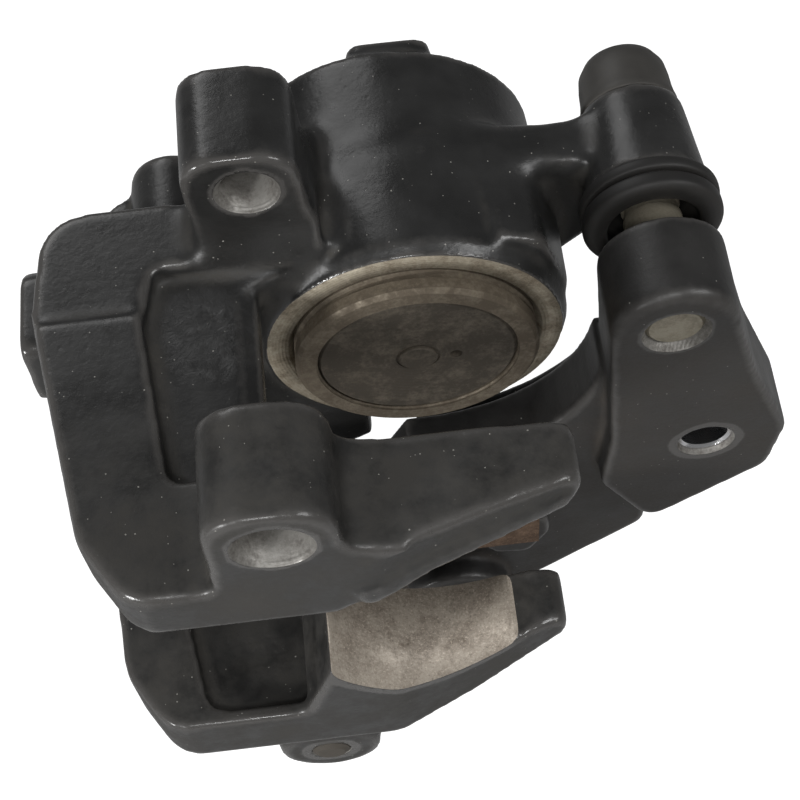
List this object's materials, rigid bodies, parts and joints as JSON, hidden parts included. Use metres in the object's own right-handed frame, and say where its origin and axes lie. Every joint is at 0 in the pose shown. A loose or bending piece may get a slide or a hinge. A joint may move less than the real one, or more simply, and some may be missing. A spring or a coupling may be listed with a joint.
{
  "type": "disc brake caliper",
  "caption": "Single-piston sliding disc brake caliper with two fingers, on its carrier bracket with guide pins, rubber boots and bleed screw; pads and pad pin taken out.",
  "frame": {"origin": "centre of the piston's face as it rests", "axes": "+Y along the piston's axis from the fingers to the closed end of the cylinder, +X from the bridge towards the disc's centre, +Z to the side of the pad pin"},
  "size_m": [0.1065, 0.0845, 0.1161],
  "materials": {
    "black_casting": "worn satin black paint with brake dust",
    "bracket_paint": "satin black paint under brown brake dust",
    "piston_metal": "dusty anodised",
    "insert_disc": "dusty matt",
    "seal_rubber": "matt",
    "pin_steel": "turned, dull",
    "bush_lining": "matt",
    "boot_rubber": "matt, dusty",
    "bleed_steel": "yellow passivated",
    "insert_steel": "bright",
    "clip_steel": "rust brown"
  },
  "bodies": {
    "carrier": {"carrier_bracket": "bracket_paint", "main_guide_pin": "pin_steel", "second_pin_bush": "boot_rubber", "second_pin_boot": "boot_rubber", "near_thread_insert": "insert_steel", "far_thread_insert": "insert_steel", "pad_anchor_clip": "clip_steel"},
    "caliper": {"caliper_body": "black_casting", "piston_seal": "seal_rubber", "dust_seal": "seal_rubber", "main_pin_bush": "bush_lining", "main_pin_boot": "boot_rubber", "main_pin_cap": "boot_rubber", "second_guide_pin": "pin_steel"},
    "piston": {"piston": "piston_metal", "piston_insert": "insert_disc"},
    "bleed_screw": {"bleed_screw": "bleed_steel"},
    "bleed_cap": {"bleed_screw_cap": "boot_rubber"}
  },
  "joints": [
    {"name": "caliper_slide", "type": "slide", "parent": "carrier", "child": "caliper", "axis": [0, 1, 0], "range_m": [-0.004, 0.006], "deforming": ["main_pin_boot", "second_pin_boot"]},
    {"name": "piston_slide", "type": "slide", "parent": "caliper", "child": "piston", "axis": [0, -1, 0], "range_m": [-0.003, 0.012]},
    {"name": "bleed_screw_turn", "type": "hinge", "parent": "caliper", "child": "bleed_screw", "pos_m": [-0.037, 0.024, -0.022], "axis": [0, 0, -1], "range_deg": [0, 270]},
    {"name": "bleed_cap_pull", "type": "slide", "parent": "bleed_screw", "child": "bleed_cap", "axis": [0, 0, -1], "range_m": [0, 0.008]}
  ]
}
